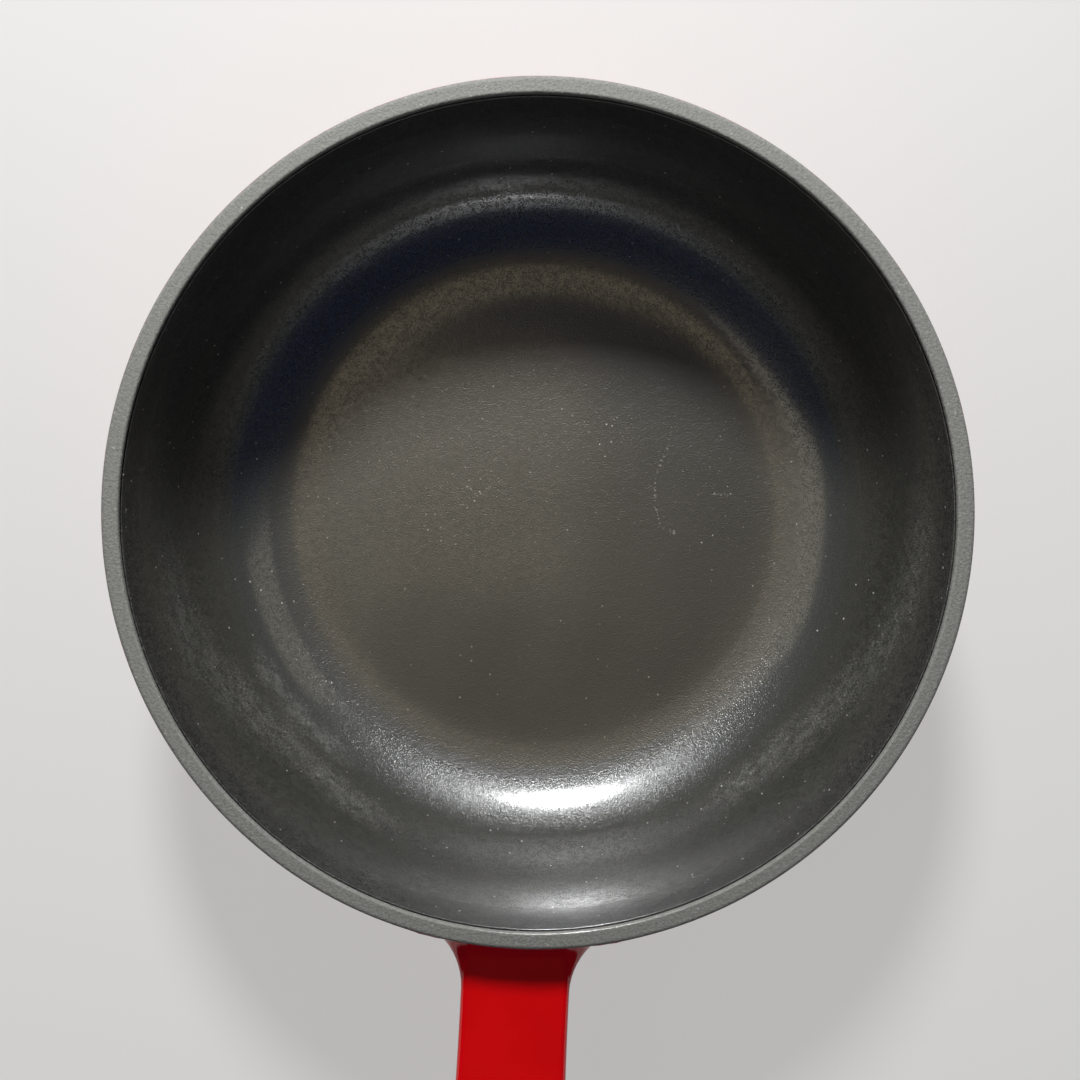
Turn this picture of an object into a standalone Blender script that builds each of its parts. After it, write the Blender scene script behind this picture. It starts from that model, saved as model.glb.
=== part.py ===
"""Enamelled cast-iron pan.

One iron casting, a round bowl with a handle run out of its wall, under four fired coats: a satin
lining, a matt ring on the rim, a gloss coat outside and a satin coat under the base.

Metres, +Z up. The origin is on the bowl's axis, on the surface that the pan stands on, and the
handle runs out along -Y.
"""

import math

import bmesh
import bpy

MM = 0.001

# Bowl
RIM_RADIUS = 100 * MM
DEPTH = 58 * MM
WALL = 4.2 * MM
WALL_LEAN = math.radians(6)
BEND_RADIUS = 30 * MM
RIM_OUTER_EDGE = 1.2 * MM
RIM_INNER_EDGE = 1.0 * MM
BASE_RADIUS = 60 * MM
BASE_STEP = 0.8 * MM

# Handle, with its lengths measured out from the bowl's axis
HANDLE_DROP = 9 * MM
NECK_HALF_WIDTH = 13.1 * MM
NECK_THICKNESS = 10.5 * MM
NECK_REACH = 113 * MM
END_REACH = 236 * MM
END_RADIUS = 15.5 * MM
END_THICKNESS = 8.5 * MM
END_RISE = 12 * MM
HANDLE_EDGE = 3.2 * MM
ROUNDEST = 0.98  # the most of a section's half width or half height that its rounded edge takes
HOLE_RADIUS = 6 * MM
HOLE_REACHES = (222 * MM, 234 * MM)

# Fillets from the handle into the wall, and the angle that they turn through to meet it
ROOT_SIDE = 16 * MM
ROOT_TOP = 6.5 * MM
ROOT_UNDER = 12 * MM
ROOT_TURN = math.radians(75)
ROOT_SINK = 0.3 * MM
ROOT_DEPTH = 1.2 * MM

# Coats, and the air left between touching solids
COAT = 0.4 * MM
GAP = 0.3 * MM
EXTERIOR_TOP_DROP = 1.6 * MM
INTERIOR_TOP_DROP = 1.4 * MM
RIM_COAT_ENDS = (math.radians(175), math.radians(5))

# Facets
TURN_STEPS = 60
BEND_STEPS = 6
EDGE_STEPS = 3
FILLET_STEPS = 5
HOLE_STEPS = 10
NECK_STATIONS = (122 * MM, 142 * MM, 164 * MM, 188 * MM, 212 * MM, 236 * MM)
TIP_TURNS = tuple(math.radians(angle) for angle in (24, 44, 60, 72, 82))
SHARP_ANGLE = math.radians(35)
MERGE = 0.01 * MM

# Heights and centres that follow from the above
FLOOR_Z = BASE_STEP + WALL
HEIGHT = FLOOR_Z + DEPTH
BEND_Z = FLOOR_Z + BEND_RADIUS
HANDLE_TOP = HEIGHT - HANDLE_DROP
OUTER_EDGE_CENTRE = (RIM_RADIUS - RIM_OUTER_EDGE, HEIGHT - RIM_OUTER_EDGE)


def wall_radius(z, depth):
    """Radius of the leaning wall at height z, on the face that lies depth inside its outer face."""
    centre_r, centre_z = OUTER_EDGE_CENTRE
    out = RIM_OUTER_EDGE - depth + (z - centre_z) * math.sin(WALL_LEAN)
    return centre_r + out / math.cos(WALL_LEAN)


BEND_CENTRE = (wall_radius(BEND_Z, WALL + BEND_RADIUS), BEND_Z)
INNER_EDGE_Z = HEIGHT - RIM_INNER_EDGE
INNER_EDGE_CENTRE = (wall_radius(INNER_EDGE_Z, WALL - RIM_INNER_EDGE), INNER_EDGE_Z)


def arc(centre, radius, start, end, steps):
    """Points (r, z) on a circle's arc, both ends included."""
    angles = [start + (end - start) * i / steps for i in range(steps + 1)]
    return [(centre[0] + radius * math.cos(a), centre[1] + radius * math.sin(a)) for a in angles]


def inside_bend(depth):
    """The bend from the floor up to the wall, on the face that lies depth inside the lining's face."""
    return arc(BEND_CENTRE, BEND_RADIUS + depth, -math.pi / 2, -WALL_LEAN, BEND_STEPS)


def outside_bend(depth):
    """The bend from the wall down to the underside, on the face that lies depth inside the outer face."""
    return arc(BEND_CENTRE, BEND_RADIUS + WALL - depth, -WALL_LEAN, -math.pi / 2, BEND_STEPS)


def rim_line(depth, inner_end, outer_end):
    """The rim's section over both rounded edges, from the inner end to the outer one."""
    top = math.pi / 2
    inner = arc(INNER_EDGE_CENTRE, RIM_INNER_EDGE - depth, inner_end, top, EDGE_STEPS)
    outer = arc(OUTER_EDGE_CENTRE, RIM_OUTER_EDGE - depth, top, outer_end, EDGE_STEPS)
    return inner + outer


def casting_profile():
    skin = COAT + GAP
    inside = [(0, FLOOR_Z - skin)] + inside_bend(skin)
    rim = rim_line(skin, math.pi - WALL_LEAN, -WALL_LEAN)
    base_r = BASE_RADIUS - skin
    base = [(base_r, BASE_STEP + skin), (base_r, skin), (0, skin)]
    return inside + rim + outside_bend(skin) + base


def interior_profile():
    top = HEIGHT - INTERIOR_TOP_DROP
    face = [(0, FLOOR_Z)] + inside_bend(0) + [(wall_radius(top, WALL), top)]
    back = [(0, FLOOR_Z - COAT)] + inside_bend(COAT) + [(wall_radius(top, WALL - COAT), top)]
    return face + back[::-1]


def rim_profile():
    return rim_line(0, *RIM_COAT_ENDS) + rim_line(COAT, *RIM_COAT_ENDS)[::-1]


def base_profile():
    inner_r = BASE_RADIUS - COAT
    lip = BASE_STEP + COAT
    return [(0, COAT), (inner_r, COAT), (inner_r, lip), (BASE_RADIUS, lip), (BASE_RADIUS, 0), (0, 0)]


def exterior_outer_profile():
    """The coat's outer face as a solid bowl, hollowed under the base where the coat stops."""
    top = HEIGHT - EXTERIOR_TOP_DROP
    hollow_r = BASE_RADIUS + GAP
    hollow = [(hollow_r, BASE_STEP), (hollow_r, FLOOR_Z), (0, FLOOR_Z)]
    return [(0, top), (wall_radius(top, 0), top)] + outside_bend(0) + hollow


def exterior_inner_profile():
    """The coat's back face as a solid bowl that stands above the coat's top."""
    top = [(0, HEIGHT), (wall_radius(HEIGHT, COAT), HEIGHT)]
    return top + outside_bend(COAT) + [(0, BASE_STEP + COAT)]


def handle_section(half_width, top, bottom, edge):
    """A rounded rectangle as (x, z, normal x, normal z), with one more point mid-way on its long sides."""
    half_height = (top - bottom) / 2
    edge = min(edge, half_width * ROUNDEST, half_height * ROUNDEST)
    middle = (top + bottom) / 2
    points = []
    for corner in range(4):
        for step in range(EDGE_STEPS + 1):
            angle = (corner + step / EDGE_STEPS) * math.pi / 2
            side = 1 if corner in (0, 3) else -1
            upper = 1 if corner in (0, 1) else -1
            normal_x = math.cos(angle)
            normal_z = math.sin(angle)
            x = side * (half_width - edge) + edge * normal_x
            z = middle + upper * (half_height - edge) + edge * normal_z
            points.append((x, z, normal_x, normal_z))
        if corner in (0, 2):
            points.append((0, points[-1][1], 0, points[-1][3]))
    return points


def root_ring(turn, sink, depth):
    """The handle's section swept out along its root fillet, and sunk that far past the wall's face."""
    top = HANDLE_TOP - depth
    bottom = HANDLE_TOP - NECK_THICKNESS + depth
    neck = handle_section(NECK_HALF_WIDTH - depth, top, bottom, HANDLE_EDGE - depth)
    ring = []
    for x, z, normal_x, normal_z in neck:
        upright = ROOT_TOP if normal_z > 0 else ROOT_UNDER
        radius = depth + ROOT_SIDE * normal_x**2 + upright * normal_z**2
        spread = radius * (1 - math.cos(turn)) + min(sink, ROOT_SINK) * math.tan(ROOT_TURN)
        reach = radius * (math.sin(ROOT_TURN) - math.sin(turn)) - sink
        out_x = x + spread * normal_x
        out_z = z + spread * normal_z
        wall_y = math.sqrt(wall_radius(out_z, depth) ** 2 - out_x**2)
        ring.append((out_x, -(wall_y + reach), out_z))
    return ring


def handle_half_width(reach, depth):
    """Widens from the neck to the end, then follows the end's half circle."""
    if reach > END_REACH:
        return math.sqrt((END_RADIUS - depth) ** 2 - (reach - END_REACH) ** 2)
    along = (reach - NECK_REACH) / (END_REACH - NECK_REACH)
    widened = (1 - math.cos(along * math.pi)) / 2
    return NECK_HALF_WIDTH + (END_RADIUS - NECK_HALF_WIDTH) * widened - depth


def handle_ring(reach, depth):
    """The handle's upright section at a distance from the bowl's axis."""
    along = (reach - NECK_REACH) / (END_REACH - NECK_REACH)
    top = HANDLE_TOP + END_RISE * along**2
    half_thickness = (NECK_THICKNESS + (END_THICKNESS - NECK_THICKNESS) * along) / 2
    middle = top - half_thickness
    edge = HANDLE_EDGE - depth
    inset = END_REACH + END_RADIUS - depth - reach
    half = half_thickness - depth
    if inset < edge:
        half += math.sqrt(edge**2 - (edge - inset) ** 2) - edge
    section = handle_section(handle_half_width(reach, depth), middle + half, middle - half, edge)
    return [(x, -reach, z) for x, z, _, _ in section]


def handle_rings(depth):
    """Every section of the handle from inside the wall to the tip, that far inside its outer face."""
    hub_z = HANDLE_TOP - NECK_THICKNESS / 2
    hub = (0, ROOT_DEPTH - wall_radius(hub_z, depth), hub_z)
    rings = [[hub]]
    for sink in (ROOT_DEPTH, ROOT_SINK):
        rings.append(root_ring(ROOT_TURN, sink, depth))
    for step in range(FILLET_STEPS, -1, -1):
        rings.append(root_ring(ROOT_TURN * step / FILLET_STEPS, 0, depth))
    tips = [END_REACH + (END_RADIUS - depth) * math.sin(turn) for turn in TIP_TURNS]
    for reach in (*NECK_STATIONS, *tips):
        rings.append(handle_ring(reach, depth))
    return rings


def hole_ring(z, depth):
    """The hanging hole's outline, a slot along the handle, that far back from its wall."""
    near, far = HOLE_REACHES
    radius = HOLE_RADIUS + depth
    near_end = arc((0, -near), radius, 0, math.pi, HOLE_STEPS)
    far_end = arc((0, -far), radius, math.pi, 2 * math.pi, HOLE_STEPS)
    return [(x, y, z) for x, y in near_end + far_end]


def make_collection(name):
    collection = bpy.data.collections.new(name)
    bpy.context.scene.collection.children.link(collection)
    return collection


def add_mesh(name, bm, collection):
    """A new object in a collection, from a bmesh that this closes."""
    mesh = bpy.data.meshes.new(name)
    bm.to_mesh(mesh)
    bm.free()
    obj = bpy.data.objects.new(name, mesh)
    collection.objects.link(obj)
    return obj


def turned(name, profile, collection):
    """A profile of (r, z) points turned about Z. One that starts off the axis closes on itself."""
    bm = bmesh.new()
    verts = [bm.verts.new((r, 0, z)) for r, z in profile]
    for near, far in zip(verts, verts[1:]):
        bm.edges.new((near, far))
    if profile[0][0] > 0:
        bm.edges.new((verts[-1], verts[0]))
    obj = add_mesh(name, bm, collection)
    screw = obj.modifiers.new("turn", "SCREW")
    screw.axis = "Z"
    screw.steps = TURN_STEPS
    screw.render_steps = TURN_STEPS
    screw.use_merge_vertices = True
    screw.merge_threshold = MERGE
    return obj


def lofted(name, rings, collection):
    """A closed skin through rings of points. An end ring of one point closes as a fan, and others flat."""
    bm = bmesh.new()
    skins = [[bm.verts.new(point) for point in ring] for ring in rings]
    for near, far in zip(skins, skins[1:]):
        for i in range(max(len(near), len(far))):
            j = i + 1
            corners = (near[i % len(near)], near[j % len(near)], far[j % len(far)], far[i % len(far)])
            bm.faces.new(list(dict.fromkeys(corners)))
    for end in (skins[0], skins[-1]):
        if len(end) > 1:
            bm.faces.new(end)
    bmesh.ops.recalc_face_normals(bm, faces=bm.faces)
    return add_mesh(name, bm, collection)


def combine(obj, operation, other):
    """A Boolean with another object, which becomes a wire guide."""
    boolean = obj.modifiers.new(f"{operation.lower()} {other.name}", "BOOLEAN")
    boolean.operation = operation
    boolean.object = other
    other.hide_render = True
    other.display_type = "WIRE"


def add_handle(obj, depth, guides):
    """Joins the handle to a bowl and cuts its hanging hole, both that far inside the outer face."""
    combine(obj, "UNION", lofted(f"{obj.name}_handle", handle_rings(depth), guides))
    hole_rings = [hole_ring(z, depth) for z in (0, HEIGHT + END_RISE)]
    combine(obj, "DIFFERENCE", lofted(f"{obj.name}_hole", hole_rings, guides))


def settle(obj):
    """Applies an object's modifiers and shades its round faces smooth."""
    graph = bpy.context.evaluated_depsgraph_get()
    obj.data = bpy.data.meshes.new_from_object(obj.evaluated_get(graph))
    obj.data.name = obj.name
    obj.modifiers.clear()
    obj.data.shade_smooth()
    obj.data.set_sharp_from_angle(angle=SHARP_ANGLE)


def paint(obj, colour, roughness, metallic=0.0, coat=0.0):
    material = bpy.data.materials.new(obj.name)
    material.use_nodes = True
    shader = material.node_tree.nodes["Principled BSDF"]
    shader.inputs["Base Color"].default_value = (*colour, 1)
    shader.inputs["Roughness"].default_value = roughness
    shader.inputs["Metallic"].default_value = metallic
    shader.inputs["Coat Weight"].default_value = coat
    obj.data.materials.append(material)


def make_casting(parts, guides):
    casting = turned("pan_casting", casting_profile(), parts)
    add_handle(casting, COAT + GAP, guides)
    settle(casting)
    paint(casting, (0.045, 0.045, 0.048), 0.65, metallic=0.8)
    return casting


def make_interior_enamel(parts):
    lining = turned("interior_enamel", interior_profile(), parts)
    settle(lining)
    paint(lining, (0.024, 0.023, 0.022), 0.45)
    return lining


def make_rim_enamel(parts):
    ring = turned("rim_enamel", rim_profile(), parts)
    settle(ring)
    paint(ring, (0.20, 0.20, 0.20), 0.7)
    return ring


def make_exterior_enamel(parts, guides):
    coat = turned("exterior_enamel", exterior_outer_profile(), parts)
    add_handle(coat, 0, guides)
    back = turned("exterior_back", exterior_inner_profile(), guides)
    add_handle(back, COAT, guides)
    combine(coat, "DIFFERENCE", back)
    settle(coat)
    paint(coat, (0.50, 0.003, 0.005), 0.15, coat=0.5)
    return coat


def make_base_enamel(parts):
    base = turned("base_enamel", base_profile(), parts)
    settle(base)
    paint(base, (0.020, 0.019, 0.019), 0.4)
    return base


def main():
    for obj in list(bpy.data.objects):
        bpy.data.objects.remove(obj)
    parts = make_collection("enamelled_pan")
    guides = make_collection("pan_guides")
    pan = bpy.data.objects.new("pan", None)
    parts.objects.link(pan)
    pieces = (
        make_casting(parts, guides),
        make_interior_enamel(parts),
        make_rim_enamel(parts),
        make_exterior_enamel(parts, guides),
        make_base_enamel(parts),
    )
    for piece in pieces:
        piece.parent = pan


main()
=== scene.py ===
import math

import bmesh
import bpy
from mathutils import Matrix, Vector


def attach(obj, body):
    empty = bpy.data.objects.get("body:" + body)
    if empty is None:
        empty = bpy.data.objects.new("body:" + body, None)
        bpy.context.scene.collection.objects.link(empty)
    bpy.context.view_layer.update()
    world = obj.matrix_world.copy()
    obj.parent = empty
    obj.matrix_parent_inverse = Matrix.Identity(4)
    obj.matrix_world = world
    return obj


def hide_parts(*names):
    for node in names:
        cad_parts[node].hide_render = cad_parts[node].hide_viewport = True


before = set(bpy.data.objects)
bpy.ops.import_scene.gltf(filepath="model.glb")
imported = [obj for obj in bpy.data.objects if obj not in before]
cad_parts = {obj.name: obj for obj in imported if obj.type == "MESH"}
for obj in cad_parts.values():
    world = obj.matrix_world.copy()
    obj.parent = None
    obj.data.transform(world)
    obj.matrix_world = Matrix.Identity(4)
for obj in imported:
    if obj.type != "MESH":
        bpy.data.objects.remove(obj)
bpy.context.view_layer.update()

MM = 0.001

# Bowl
RIM_RADIUS = 100 * MM
DEPTH = 58 * MM
WALL = 4.2 * MM
WALL_LEAN = math.radians(6)
BEND_RADIUS = 30 * MM
RIM_OUTER_EDGE = 1.2 * MM
RIM_INNER_EDGE = 0.6 * MM
BASE_RADIUS = 60 * MM
BASE_STEP = 0.8 * MM
BASE_EDGE = 0.5 * MM

# Handle, with its lengths measured out from the bowl's axis
HANDLE_DROP = 9 * MM
NECK_HALF_WIDTH = 13.1 * MM
NECK_THICKNESS = 10.5 * MM
NECK_REACH = 113 * MM
END_REACH = 236 * MM
END_RADIUS = 15.5 * MM
END_THICKNESS = 8.5 * MM
END_RISE = 12 * MM
HANDLE_EDGE = 1.7 * MM
ROUNDEST = 0.98
ROOT_SIDE = 16 * MM
ROOT_TOP = 6.5 * MM
ROOT_UNDER = 12 * MM
HOLE_RADIUS = 6 * MM
HOLE_REACHES = (222 * MM, 234 * MM)
HOLE_EDGE = 1.2 * MM

# Coats, and where each one ends at the rim
COAT = 0.4 * MM
LINING_TOP_DROP = 2.0 * MM
LINING_LIP = 0.2 * MM
BAND_INNER_DROP = 1.0 * MM
BAND_OUTER_END = math.radians(32)
EASE_REACH = 7 * MM
EASE_STEPS = 14

# Heights and centres that follow from the above
FLOOR_Z = BASE_STEP + WALL
HEIGHT = FLOOR_Z + DEPTH
BEND_Z = FLOOR_Z + BEND_RADIUS
HANDLE_TOP = HEIGHT - HANDLE_DROP
OUTER_EDGE_CENTRE = (RIM_RADIUS - RIM_OUTER_EDGE, HEIGHT - RIM_OUTER_EDGE)
OUTER_BEND = BEND_RADIUS + WALL


def wall_radius(z, depth):
    """Radius of the leaning wall at height z, on the face that lies depth inside its outer face."""
    centre_r, centre_z = OUTER_EDGE_CENTRE
    out = RIM_OUTER_EDGE - depth + (z - centre_z) * math.sin(WALL_LEAN)
    return centre_r + out / math.cos(WALL_LEAN)


BEND_CENTRE = (wall_radius(BEND_Z, WALL + BEND_RADIUS), BEND_Z)
INNER_EDGE_Z = HEIGHT - RIM_INNER_EDGE
INNER_EDGE_CENTRE = (wall_radius(INNER_EDGE_Z, WALL - RIM_INNER_EDGE), INNER_EDGE_Z)
WALL_TOP_Z = OUTER_EDGE_CENTRE[1] - RIM_OUTER_EDGE * math.sin(WALL_LEAN)
WALL_RUN = (WALL_TOP_Z - BEND_Z + OUTER_BEND * math.sin(WALL_LEAN)) / math.cos(WALL_LEAN)
BEND_RUN = OUTER_BEND * (math.pi / 2 - WALL_LEAN)

# Fineness of the meshes
TURN_SEGMENTS = 240
FLOOR_STEPS = 16
SHELF_STEPS = 3
BEND_STEPS = 30
FACE_STEPS = 110
EDGE_STEPS = 8
SIDE_FLAT_STEPS = 4
TOP_FLAT_STEPS = 6
CORNER_STEPS = 14
FILLET_STEPS = 14
STATION_STEP = 3 * MM
TIP_STEPS = 16
TIP_LAST_TURN = math.radians(88.5)
HOLE_STEPS = 20
FLARE_TURNS = tuple(math.radians(angle) for angle in (20, 40, 65, 90))
FLARE_OUT = 0.6 * MM
SHARP_ANGLE = math.radians(40)
WELD = 0.002 * MM

# The patch of wall round the handle's root: its runs down from the rim, then its rows and columns
PATCH_RUNS = (0.45 * MM, 33.5 * MM)
PATCH_ROWS = 2 * (SIDE_FLAT_STEPS + CORNER_STEPS // 2)
PATCH_HALF_COLUMNS = TOP_FLAT_STEPS + CORNER_STEPS // 2
PATCH_RINGS = 6
HUB = (0, -0.9 * RIM_RADIUS, HANDLE_TOP - NECK_THICKNESS / 2)


def arc(centre, radius, start, end, steps):
    """Points (r, z) on a circle's arc, both ends included."""
    angles = [start + (end - start) * i / steps for i in range(steps + 1)]
    return [(centre[0] + radius * math.cos(a), centre[1] + radius * math.sin(a)) for a in angles]


def between(start, end, steps):
    """Points (r, z) from one place towards another, without the last."""
    shares = [i / steps for i in range(steps)]
    return [tuple(a + (b - a) * share for a, b in zip(start, end)) for share in shares]


def add_object(name, data):
    """An object at the origin, in the scene."""
    obj = bpy.data.objects.new(name, data)
    bpy.context.scene.collection.objects.link(obj)
    return obj


# Node trees


def put(tree, kind, feeds=None, **settings):
    """A new node with its settings, and its inputs fed by values or by other nodes' sockets."""
    node = tree.nodes.new(kind)
    for name, value in settings.items():
        setattr(node, name, value)
    for socket, value in (feeds or {}).items():
        if isinstance(value, bpy.types.NodeSocket):
            tree.links.new(value, node.inputs[socket])
        else:
            node.inputs[socket].default_value = value
    return node


def calc(tree, operation, first, second):
    """The outcome of one operation on two numbers."""
    return put(tree, "ShaderNodeMath", {0: first, 1: second}, operation=operation).outputs[0]


def vectors(tree, operation, first, second):
    """The outputs of one operation on two places."""
    return put(tree, "ShaderNodeVectorMath", {0: first, 1: second}, operation=operation).outputs


def scaled(tree, vector, scale):
    feeds = {0: vector, "Scale": scale}
    return put(tree, "ShaderNodeVectorMath", feeds, operation="SCALE").outputs["Vector"]


def parted(tree, vector):
    """A place's three coordinates."""
    return put(tree, "ShaderNodeSeparateXYZ", {0: vector}).outputs


def new_tree(name, kind, inputs, outputs):
    """An empty node group with named sockets, as (tree, its input node, its output node)."""
    tree = bpy.data.node_groups.new(name, kind)
    for direction, sockets in (("INPUT", inputs), ("OUTPUT", outputs)):
        for socket_name, socket_type in sockets:
            tree.interface.new_socket(socket_name, in_out=direction, socket_type=socket_type)
    return tree, tree.nodes.new("NodeGroupInput"), tree.nodes.new("NodeGroupOutput")


# Turned pieces

TURNING_CIRCLE = 1.0
MIDDLE_OF_NOISE = 0.5


def turned_coat_tree():
    """Turns a profile drawn in r and z about the bowl's axis, and leaves it uneven like a fired coat."""
    inputs = (
        ("Profile", "NodeSocketGeometry"),
        ("Segments", "NodeSocketInt"),
        ("Unevenness", "NodeSocketFloat"),
        ("Lump Size", "NodeSocketFloat"),
        ("Seed", "NodeSocketFloat"),
        ("Material", "NodeSocketMaterial"),
    )
    tree, given, made = new_tree(
        "turned coat", "GeometryNodeTree", inputs, (("Coat", "NodeSocketGeometry"),)
    )
    drawn = parted(tree, put(tree, "GeometryNodeInputPosition").outputs[0])
    across = calc(tree, "SUBTRACT", drawn["X"], TURNING_CIRCLE)
    upright = calc(tree, "MULTIPLY", drawn["Z"], -1)
    laid = put(tree, "ShaderNodeCombineXYZ", {"X": across, "Y": upright})
    flat = put(
        tree,
        "GeometryNodeSetPosition",
        {"Geometry": given.outputs["Profile"], "Position": laid.outputs[0]},
    )
    line = put(tree, "GeometryNodeMeshToCurve", {"Mesh": flat.outputs[0]})
    circle = put(
        tree,
        "GeometryNodeCurvePrimitiveCircle",
        {"Resolution": given.outputs["Segments"], "Radius": TURNING_CIRCLE},
    )
    level = put(tree, "GeometryNodeSetCurveNormal", {"Curve": circle.outputs["Curve"]}, mode="Z_UP")
    swept = put(
        tree,
        "GeometryNodeCurveToMesh",
        {"Curve": level.outputs[0], "Profile Curve": line.outputs[0]},
    )
    closed = put(
        tree,
        "GeometryNodeMergeByDistance",
        {"Geometry": swept.outputs[0], "Distance": WELD},
    )
    lump_scale = calc(tree, "DIVIDE", 1.0, given.outputs["Lump Size"])
    lumps = put(
        tree,
        "ShaderNodeTexNoise",
        {"W": given.outputs["Seed"], "Scale": lump_scale, "Detail": 1.0},
        noise_dimensions="4D",
    )
    centred = calc(tree, "SUBTRACT", lumps.outputs[0], MIDDLE_OF_NOISE)
    height = calc(tree, "MULTIPLY", centred, given.outputs["Unevenness"])
    outward = scaled(tree, put(tree, "GeometryNodeInputNormal").outputs[0], height)
    uneven = put(
        tree,
        "GeometryNodeSetPosition",
        {"Geometry": closed.outputs[0], "Offset": outward},
    )
    whole = put(tree, "GeometryNodeRealizeInstances", {0: uneven.outputs[0]})
    painted = put(
        tree,
        "GeometryNodeSetMaterial",
        {"Geometry": whole.outputs[0], "Material": given.outputs["Material"]},
    )
    tree.links.new(painted.outputs[0], made.inputs["Coat"])
    return tree


COATS = turned_coat_tree()


def add_piece(name, mesh):
    """An object from a finished mesh, with its round faces shaded smooth."""
    mesh.name = name
    mesh.shade_smooth()
    mesh.set_sharp_from_angle(angle=SHARP_ANGLE)
    return add_object(name, mesh)


def evaluated_mesh(obj):
    """The object's mesh as its modifiers leave it. The object itself is removed."""
    graph = bpy.context.evaluated_depsgraph_get()
    mesh = bpy.data.meshes.new_from_object(obj.evaluated_get(graph), depsgraph=graph)
    bpy.data.objects.remove(obj)
    return mesh


def turn_coat(name, profile, material, unevenness, lump_size, seed):
    """A piece turned from a profile. One that starts off the axis closes on itself."""
    mesh = bpy.data.meshes.new(f"{name}_profile")
    edges = [(i, i + 1) for i in range(len(profile) - 1)]
    if profile[0][0] > 0:
        edges.append((len(profile) - 1, 0))
    mesh.from_pydata([(r, 0, z) for r, z in profile], edges, [])
    guide = add_object(f"{name}_profile", mesh)
    modifier = guide.modifiers.new("turn", "NODES")
    modifier.node_group = COATS
    values = {
        "Segments": TURN_SEGMENTS,
        "Unevenness": unevenness,
        "Lump Size": lump_size,
        "Seed": seed,
        "Material": material,
    }
    for socket in COATS.interface.items_tree:
        if socket.name in values:
            modifier[socket.identifier] = values[socket.name]
    return add_piece(name, evaluated_mesh(guide))


def inside_place(run):
    """(r, z) on the lining's face, that far out from the middle of the floor."""
    if run < BEND_CENTRE[0]:
        return run, FLOOR_Z
    angle = (run - BEND_CENTRE[0]) / BEND_RADIUS - math.pi / 2
    turned = min(angle, -WALL_LEAN)
    beyond = (angle - turned) * BEND_RADIUS
    r = BEND_CENTRE[0] + BEND_RADIUS * math.cos(turned) + beyond * math.sin(WALL_LEAN)
    return r, BEND_Z + BEND_RADIUS * math.sin(turned) + beyond * math.cos(WALL_LEAN)


def eased_inside_place(run):
    """The same place with the bend eased into the floor and the wall, as a thick coat leaves it."""
    offsets = [EASE_REACH * (2 * i / EASE_STEPS - 1) for i in range(EASE_STEPS + 1)]
    places = [inside_place(run + offset) for offset in offsets]
    return tuple(sum(place[axis] for place in places) / len(places) for axis in (0, 1))


def lining_profile():
    """The lining's face from the middle of the floor to its lip, and back behind it."""
    top = HEIGHT - LINING_TOP_DROP
    lip_foot = (wall_radius(top - LINING_LIP, WALL), top - LINING_LIP)
    wall_foot = BEND_CENTRE[0] + BEND_RADIUS * (math.pi / 2 - WALL_LEAN)
    wall_foot_z = BEND_Z - BEND_RADIUS * math.sin(WALL_LEAN)
    whole = wall_foot + (lip_foot[1] - wall_foot_z) / math.cos(WALL_LEAN)
    runs = [whole * i / FACE_STEPS for i in range(1, FACE_STEPS + 1)]
    face = [(0, FLOOR_Z)] + [eased_inside_place(run) for run in runs]
    lip_centre = (lip_foot[0] + LINING_LIP, lip_foot[1])
    lip = arc(lip_centre, LINING_LIP, math.pi, math.pi / 2, EDGE_STEPS)[1:]
    back_bend = arc(BEND_CENTRE, BEND_RADIUS + COAT, -WALL_LEAN, -math.pi / 2, BEND_STEPS)
    back = [(wall_radius(top, WALL - COAT), top)] + back_bend + [(0, FLOOR_Z - COAT)]
    return face + lip + back


def rim_band_profile():
    """The grey band over the rim, from inside to outside, and back behind it."""
    end_z = HEIGHT - BAND_INNER_DROP
    inner_start = math.pi - WALL_LEAN
    top = math.pi / 2
    lines = []
    for depth in (0, COAT):
        inner = arc(INNER_EDGE_CENTRE, RIM_INNER_EDGE - depth, inner_start, top, EDGE_STEPS)
        outer = arc(OUTER_EDGE_CENTRE, RIM_OUTER_EDGE - depth, top, BAND_OUTER_END, EDGE_STEPS)
        end = [(wall_radius(end_z, WALL - depth), end_z)]
        level = between(inner[-1], outer[0], EDGE_STEPS)[1:]
        lines.append(end + inner + level + outer)
    face, back = lines
    return face + back[::-1]


def base_profile():
    """The shallow cup of coat round the flat that the pan stands on."""
    inner_r = BASE_RADIUS - COAT
    lip = BASE_STEP + COAT
    edge_centre = (BASE_RADIUS - BASE_EDGE, BASE_EDGE)
    edge = arc(edge_centre, BASE_EDGE, 0, -math.pi / 2, EDGE_STEPS)
    inside = [(0, COAT), (inner_r, COAT), (inner_r, lip), (BASE_RADIUS, lip)]
    return inside + edge + between(edge[-1], (0, 0), FLOOR_STEPS)[1:] + [(0, 0)]


# The red outside with its handle


def outside_place(run):
    """(r, z) on the outside, that far down from the rim's rounded edge."""
    if run < WALL_RUN:
        z = WALL_TOP_Z - run * math.cos(WALL_LEAN)
        return wall_radius(z, 0), z
    angle = -WALL_LEAN - (run - WALL_RUN) / OUTER_BEND
    return BEND_CENTRE[0] + OUTER_BEND * math.cos(angle), BEND_Z + OUTER_BEND * math.sin(angle)


def outside_point(angle, run):
    """(x, y, z) on the outside, at an angle round the axis."""
    r, z = outside_place(run)
    return (r * math.cos(angle), r * math.sin(angle), z)


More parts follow.
